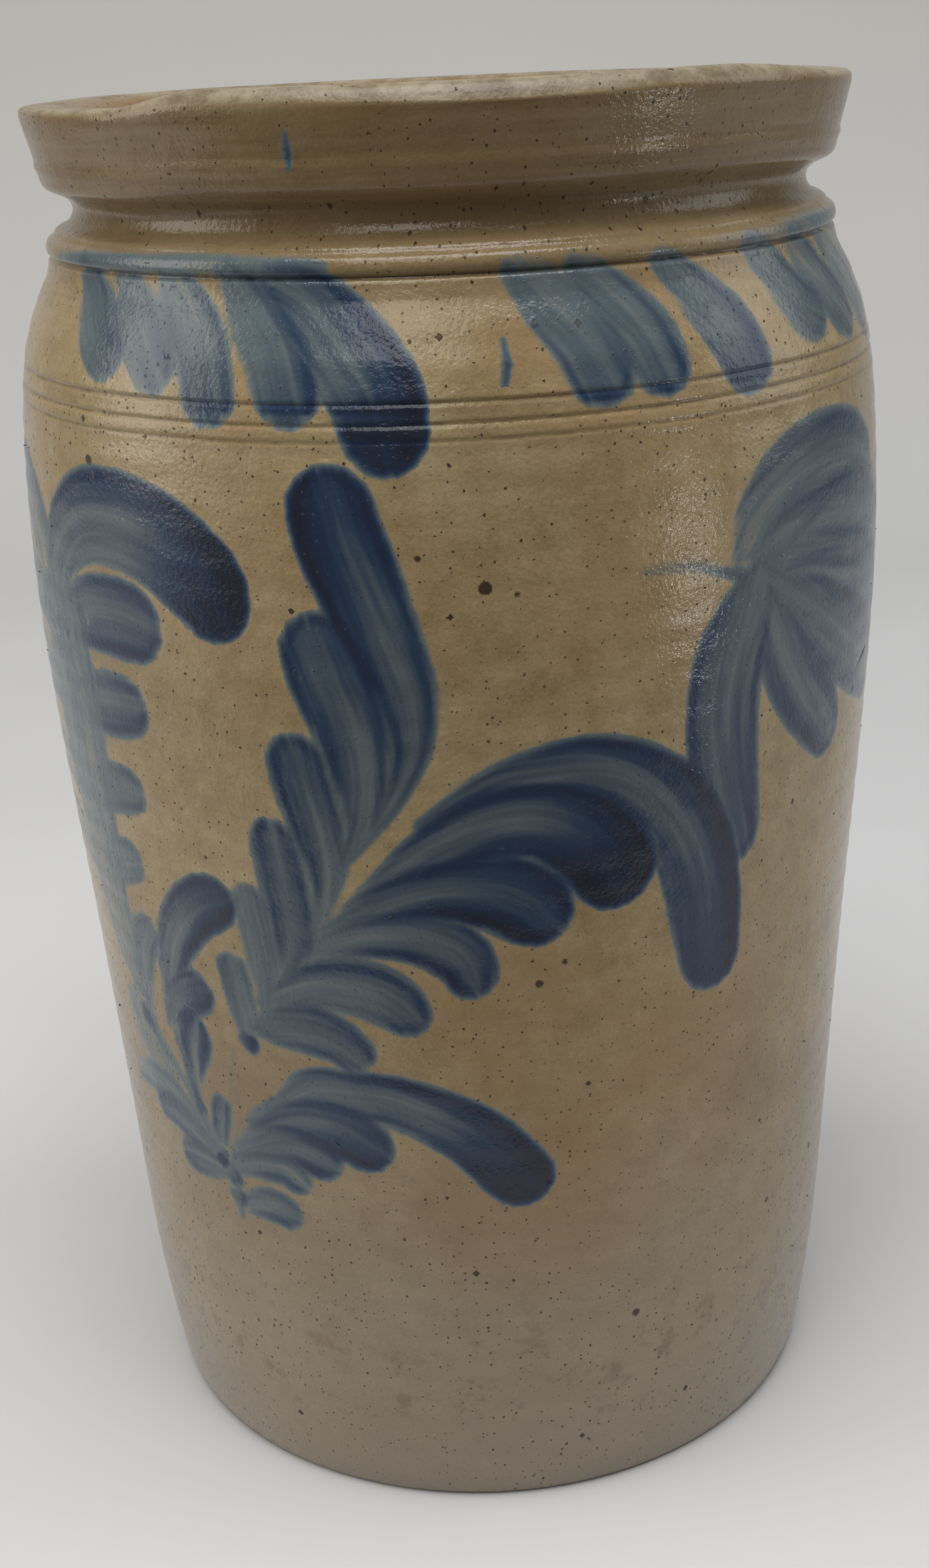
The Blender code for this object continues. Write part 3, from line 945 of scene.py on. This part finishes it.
def salt_glaze():
    """Grey-tan stoneware under salt glaze, with the cobalt fired into it."""
    material, tree, place = new_material("salt_glazed_stoneware")
    plan = tree.stored("plan")
    clouds = tree.noise(place, 0.018, 4.0, 0.55)
    mottle = tree.noise(place, 0.1, 6.0, 0.72)
    clay = marked(tree, stoneware(tree, place, clouds, mottle), place, plan, clouds, mottle)
    specks = iron_specks(tree, plan, clouds)
    clay = tree.mix(clay, IRON, specks * 0.88)
    cobalt = brushed_cobalt(tree, tree.part(place, "Z"))
    blue = tree.ramp(cobalt * 0.45, *COBALT)
    colour = tree.mix(clay, blue, cobalt.step(0.0, 0.27) * 0.95)
    colour = tree.mix(colour, IRON_IN_BLUE, specks * 0.45)

    peel = tree.noise(place, 0.8, 2.0, 0.5)
    pits = tree.noise(place, 2.2, 2.0, 0.5)
    worn = lip_wear(tree.part(plan, "Y"))
    rough = 0.095 + 0.25 * worn + 0.16 * mottle + 0.12 * (pits - 0.5) + 0.2 * specks
    waves = tree.bump(tree.noise(place, 0.06, 2.0), 0.35, 1.2 * MM)
    skin = tree.bump(peel * 0.8 + pits * 0.2, 0.58, 0.34 * MM, waves)
    spots = tree.bump(specks, 0.5, 0.2 * MM, skin)
    finish_material(tree, {"Base Color": colour, "Roughness": rough, "Normal": spots, "IOR": GLAZE_IOR})
    return material


def iron_crumb():
    """The rust-black of iron and ash that melted onto the glaze."""
    material, tree, place = new_material("iron_crumb")
    rust = ((0.35, (0.020, 0.012, 0.008)), (0.65, (0.085, 0.045, 0.022)))
    tone = tree.ramp(tree.noise(place, 0.8, 2.0), *rust)
    finish_material(tree, {"Base Color": tone, "Roughness": 0.45})
    return material


def bare_clay():
    """Unglazed fired clay: matt, gritty and speckled."""
    material, tree, place = new_material("fired_clay")
    tones = ((0.32, (0.30, 0.22, 0.145)), (0.5, (0.38, 0.30, 0.21)), (0.66, (0.45, 0.37, 0.27)))
    grit = tree.noise(place, 1.3, 4.0, 0.65)
    clay = tree.ramp(tree.noise(place, 0.03, 4.0, 0.6) * 0.6 + grit * 0.4, *tones)
    cells = tree.node("ShaderNodeTexVoronoi", {}, {"Vector": place, "Scale": 0.3}, "Distance")
    colour = tree.mix(clay, (0.09, 0.05, 0.03), cells.step(0.10, 0.2, 1.0, 0.0) * 0.7)
    wheel = tree.noise(tree.combine(0.0, 0.0, tree.part(place, "Z")), 0.5, 2.0)
    rounded = tree.bump(tree.noise(place, 0.09, 3.0) + wheel * 0.3, 0.5, 1.2 * MM)
    gritty = tree.bump(grit, 0.6, 0.4 * MM, rounded)
    rough = 0.72 + 0.2 * (grit - 0.5)
    finish_material(tree, {"Base Color": colour, "Roughness": rough, "Normal": gritty})
    return material


# ---- Pieces ------------------------------------------------------------------

# The weights, as in the CAD.
WEIGHT_RADIUS = 86 * MM
WEIGHT_THICKNESS = 28 * MM
WEIGHT_BOTTOM = 14.3 * MM
WEIGHT_GAP = 3 * MM
WEIGHT_CORNER = 7 * MM
WEIGHT_EDGE = 4 * MM
HOLE_RADIUS = 12.5 * MM
HOLE_OFFSET = 38 * MM
CORNER_STEPS = 6
ROUND_STEPS = 32


def crock(material):
    """The pot: body, shoulder, bead, groove, collar, lip and inside in one piece of clay."""
    pot = grown("thrown_crock", flat_mesh(), throwing_tree(), material)
    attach(pot, "crock")
    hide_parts("crock")
    return pot


def crumb_tree():
    """Geometry nodes that scatter kiln crumbs over the outside wall of the pot they are given."""
    tree = Shaping("Kiln crumbs", "Pot", {
        "Per square metre": 800.0, "Smallest": 0.15 * MM, "Largest": 0.42 * MM,
    })
    place = tree.node("GeometryNodeInputPosition")
    height = tree.part(place, "Z")
    outwards = tree.node("ShaderNodeVectorMath", {"operation": "DOT_PRODUCT"}, {
        0: tree.node("GeometryNodeInputNormal"), 1: tree.scaled(place, 10.0),
    }, "Value")
    above_foot = height.math("GREATER_THAN", 12 * MM)
    below_bead = height.math("LESS_THAN", 352 * MM)
    spread = tree.node("GeometryNodeDistributePointsOnFaces", {"distribute_method": "RANDOM"}, {
        "Mesh": tree.asked("Pot"), "Density": tree.asked("Per square metre"),
        "Selection": outwards.math("GREATER_THAN", 0.6) * above_foot * below_bead, "Seed": 11,
    }, "Points")
    lump = tree.node("GeometryNodeMeshIcoSphere", {}, {"Radius": 1.0, "Subdivisions": 2}, "Mesh")
    size = tree.chance(tree.asked("Smallest"), tree.asked("Largest"), 5)
    turn = tree.chance((0.0, 0.0, 0.0), (6.28, 6.28, 6.28), 8)
    squash = tree.chance((0.6, 0.6, 0.5), (1.2, 1.0, 0.8), 3)
    tree.give(tree.node("GeometryNodeInstanceOnPoints", {}, {
        "Points": spread, "Instance": lump, "Rotation": turn, "Scale": tree.scaled(squash, size),
    }))
    return tree


def kiln_crumbs(pot, material):
    """Small lumps of iron and ash, stuck to the wall."""
    crumbs = grown("kiln_crumbs", pot.data.copy(), crumb_tree(), material)
    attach(crumbs, "crock")


def half_round_mesh(side):
    """A half-round slab on side -1 (left) or +1 (right), with round corners and no hole yet."""
    build = bmesh.new()
    outline = []
    half_turn = math.acos((WEIGHT_GAP + WEIGHT_CORNER) / (WEIGHT_RADIUS - WEIGHT_CORNER))
    centre = (WEIGHT_RADIUS - WEIGHT_CORNER) * math.sin(half_turn)
    for i in range(CORNER_STEPS + 1):
        angle = math.radians(180 + 90 * i / CORNER_STEPS) + (i / CORNER_STEPS) * (math.pi / 2 - half_turn)
        x = WEIGHT_GAP + WEIGHT_CORNER * (1 + math.cos(angle))
        outline.append((x, -centre + WEIGHT_CORNER * math.sin(angle)))
    for i in range(1 - ROUND_STEPS, ROUND_STEPS):
        angle = half_turn * i / ROUND_STEPS
        outline.append((WEIGHT_RADIUS * math.cos(angle), WEIGHT_RADIUS * math.sin(angle)))
    outline += [(x, -y) for x, y in reversed(outline[:CORNER_STEPS + 1])]
    face = build.faces.new([build.verts.new((side * x, y, 0.0)) for x, y in outline])
    raised = bmesh.ops.extrude_face_region(build, geom=[face])
    top = [item for item in raised["geom"] if isinstance(item, bmesh.types.BMVert)]
    bmesh.ops.translate(build, vec=Vector((0.0, 0.0, WEIGHT_THICKNESS)), verts=top)
    bmesh.ops.translate(build, vec=Vector((0.0, 0.0, WEIGHT_BOTTOM)), verts=build.verts)
    bmesh.ops.recalc_face_normals(build, faces=build.faces)
    return mesh_of("half_round", build)


def hole_mesh(side):
    """The round plug that a finger hole is cut with."""
    build = bmesh.new()
    middle = Matrix.Translation((side * HOLE_OFFSET, 0.0, WEIGHT_BOTTOM + WEIGHT_THICKNESS / 2))
    bmesh.ops.create_cone(
        build, cap_ends=True, segments=48, radius1=HOLE_RADIUS, radius2=HOLE_RADIUS,
        depth=3 * WEIGHT_THICKNESS, matrix=middle,
    )
    return mesh_of("hole", build)


def mesh_of(name, build):
    """The finished bmesh as a mesh."""
    mesh = bpy.data.meshes.new(name)
    build.to_mesh(mesh)
    build.free()
    return mesh


def weights(material):
    """The two half-round weights of coarse clay, with softened edges and a finger hole each."""
    for node, side in (("weight_left", -1), ("weight_right", 1)):
        tool = placed("hole", hole_mesh(side))
        blank = placed("blank", half_round_mesh(side))
        pierce = blank.modifiers.new("Finger hole", "BOOLEAN")
        pierce.operation = "DIFFERENCE"
        pierce.object = tool
        edge = blank.modifiers.new("Softened edges", "BEVEL")
        edge.width = WEIGHT_EDGE
        edge.segments = 6
        edge.limit_method = "ANGLE"
        edge.angle_limit = math.radians(50)
        made = finished(blank)
        bpy.data.objects.remove(tool)
        made.shade_smooth()
        made.set_sharp_from_angle(angle=math.radians(35))
        made.materials.clear()
        made.materials.append(material)
        weight = placed(node + "_clay", made)
        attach(weight, node)
        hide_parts(node)


# ---- Studio ------------------------------------------------------------------

# The backdrop in metres: half its width, its front edge, its back, the radius of its curve and its top.
HALF_WIDTH = 2.6
PAPER_FRONT = -0.32
PAPER_BACK = 1.5
PAPER_CURVE = 0.5
PAPER_TOP = 2.4
CURVE_STEPS = 15
TABLE_FRONT = -2.0
TABLE_DROP = 0.004


def plain(name, colour, roughness, painted_shade_above=None):
    """A matt sheet, slightly uneven, which may turn to another colour higher up as painted shade."""
    material, tree, place = new_material(name)
    uneven = tree.noise(tree.scaled(place, MM), 3.0, 2.0).step(0.3, 0.7)
    tone = tree.mix(colour, tuple(1.06 * part for part in colour), uneven)
    # Painted shade: from 0.1 m below the floor to 0.6 m up, the sheet turns to the colour above.
    tone = tree.mix(tone, painted_shade_above or colour, tree.part(place, "Z").step(-100.0, 600.0))
    finish_material(tree, {"Base Color": tone, "Roughness": roughness})
    return material


def cove():
    """A sheet of paper that runs back under the crock and curves up behind it, on a dark table."""
    line = [(PAPER_FRONT, 0.0), (PAPER_BACK - PAPER_CURVE, 0.0)]
    for i in range(1, CURVE_STEPS + 1):
        angle = math.radians(90 * i / CURVE_STEPS)
        y = PAPER_BACK - PAPER_CURVE + PAPER_CURVE * math.sin(angle)
        line.append((y, PAPER_CURVE - PAPER_CURVE * math.cos(angle)))
    line.append((PAPER_BACK, PAPER_TOP))
    # The paper is painted darker and warmer higher up: painted shade on the backdrop.
    sheet("paper", line, plain("paper", (0.575, 0.575, 0.585), 0.9, (0.535, 0.52, 0.485)))
    table = [(TABLE_FRONT, -TABLE_DROP), (PAPER_FRONT - 0.002, -TABLE_DROP)]
    sheet("table", table, plain("table", (0.10, 0.09, 0.08), 0.7))


def sheet(name, line, material):
    """A strip across the scene that follows this line of (y, z)."""
    mesh = bpy.data.meshes.new(name)
    points = [(side * HALF_WIDTH, y, z) for y, z in line for side in (-1, 1)]
    faces = [(2 * i, 2 * i + 1, 2 * i + 3, 2 * i + 2) for i in range(len(line) - 1)]
    mesh.from_pydata(points, [], faces)
    mesh.shade_smooth()
    mesh.materials.append(material)
    placed(name, mesh)


def softbox(name, place, aim, width, height, power, colour=(1.0, 1.0, 1.0)):
    """A rectangular light at place that faces aim, in metres and watts."""
    lamp = bpy.data.lights.new(name, "AREA")
    lamp.shape = "RECTANGLE"
    lamp.size = width
    lamp.size_y = height
    lamp.energy = power
    lamp.color = colour
    thing = placed(name, lamp)
    thing.location = place
    thing.rotation_euler = (Vector(aim) - Vector(place)).to_track_quat("-Z", "Y").to_euler()


def studio():
    """The backdrop, soft light from above and both sides, and a small lamp that makes the glaze glint."""
    cove()
    warm, warmer, cool = (1.0, 0.97, 0.92), (1.0, 0.97, 0.90), (0.9, 0.95, 1.0)
    softbox("overhead", (0.0, -0.45, 2.15), (0, 0, 0.22), 1.6, 1.4, 44)
    softbox("front_sky", (-0.4, -1.7, 1.8), (0, 0, 0.3), 1.0, 0.8, 9, warm)
    softbox("left_window", (-1.6, -0.2, 0.8), (0, 0, 0.2), 0.9, 1.2, 9.5, warmer)
    softbox("right_window", (1.6, 0.0, 0.8), (0, 0, 0.2), 0.9, 1.2, 5.6)
    softbox("low_left", (-1.3, -0.5, 0.3), (0, 0, 0.16), 0.8, 0.4, 1.0, cool)
    softbox("low_glint", (0.85, -0.51, 0.10), (0.05, -0.1, 0.285), 0.02, 0.05, 0.5)
    world = bpy.data.worlds.new("studio")
    world.use_nodes = True
    sky = world.node_tree.nodes["Background"]
    sky.inputs["Color"].default_value = (0.95, 0.97, 1.0, 1.0)
    sky.inputs["Strength"].default_value = 0.06
    bpy.context.scene.world = world
    bpy.context.scene.view_settings.view_transform = "Standard"


def camera():
    """A lens a little above the lip, looking down at the front."""
    pitch, yaw, roll = math.radians(20.34), math.radians(-0.05), math.radians(-2.64)
    ahead = Vector((math.sin(yaw) * math.cos(pitch), math.cos(yaw) * math.cos(pitch), -math.sin(pitch)))
    right = Vector((math.cos(yaw), -math.sin(yaw), 0.0))
    up = right.cross(ahead)
    turned = Matrix((
        math.cos(roll) * right + math.sin(roll) * up,
        math.cos(roll) * up - math.sin(roll) * right,
        -ahead,
    )).transposed()
    lens = bpy.data.cameras.new("camera")
    lens.lens = 47.1
    thing = placed("camera", lens)
    thing.matrix_world = Matrix.Translation((0.0, -0.6026, 0.4117)) @ turned.to_4x4()
    bpy.context.scene.camera = thing


def main():
    """The camera and the studio, then the four pieces."""
    camera()
    studio()
    pot = crock(salt_glaze())
    kiln_crumbs(pot, iron_crumb())
    weights(bare_clay())


main()
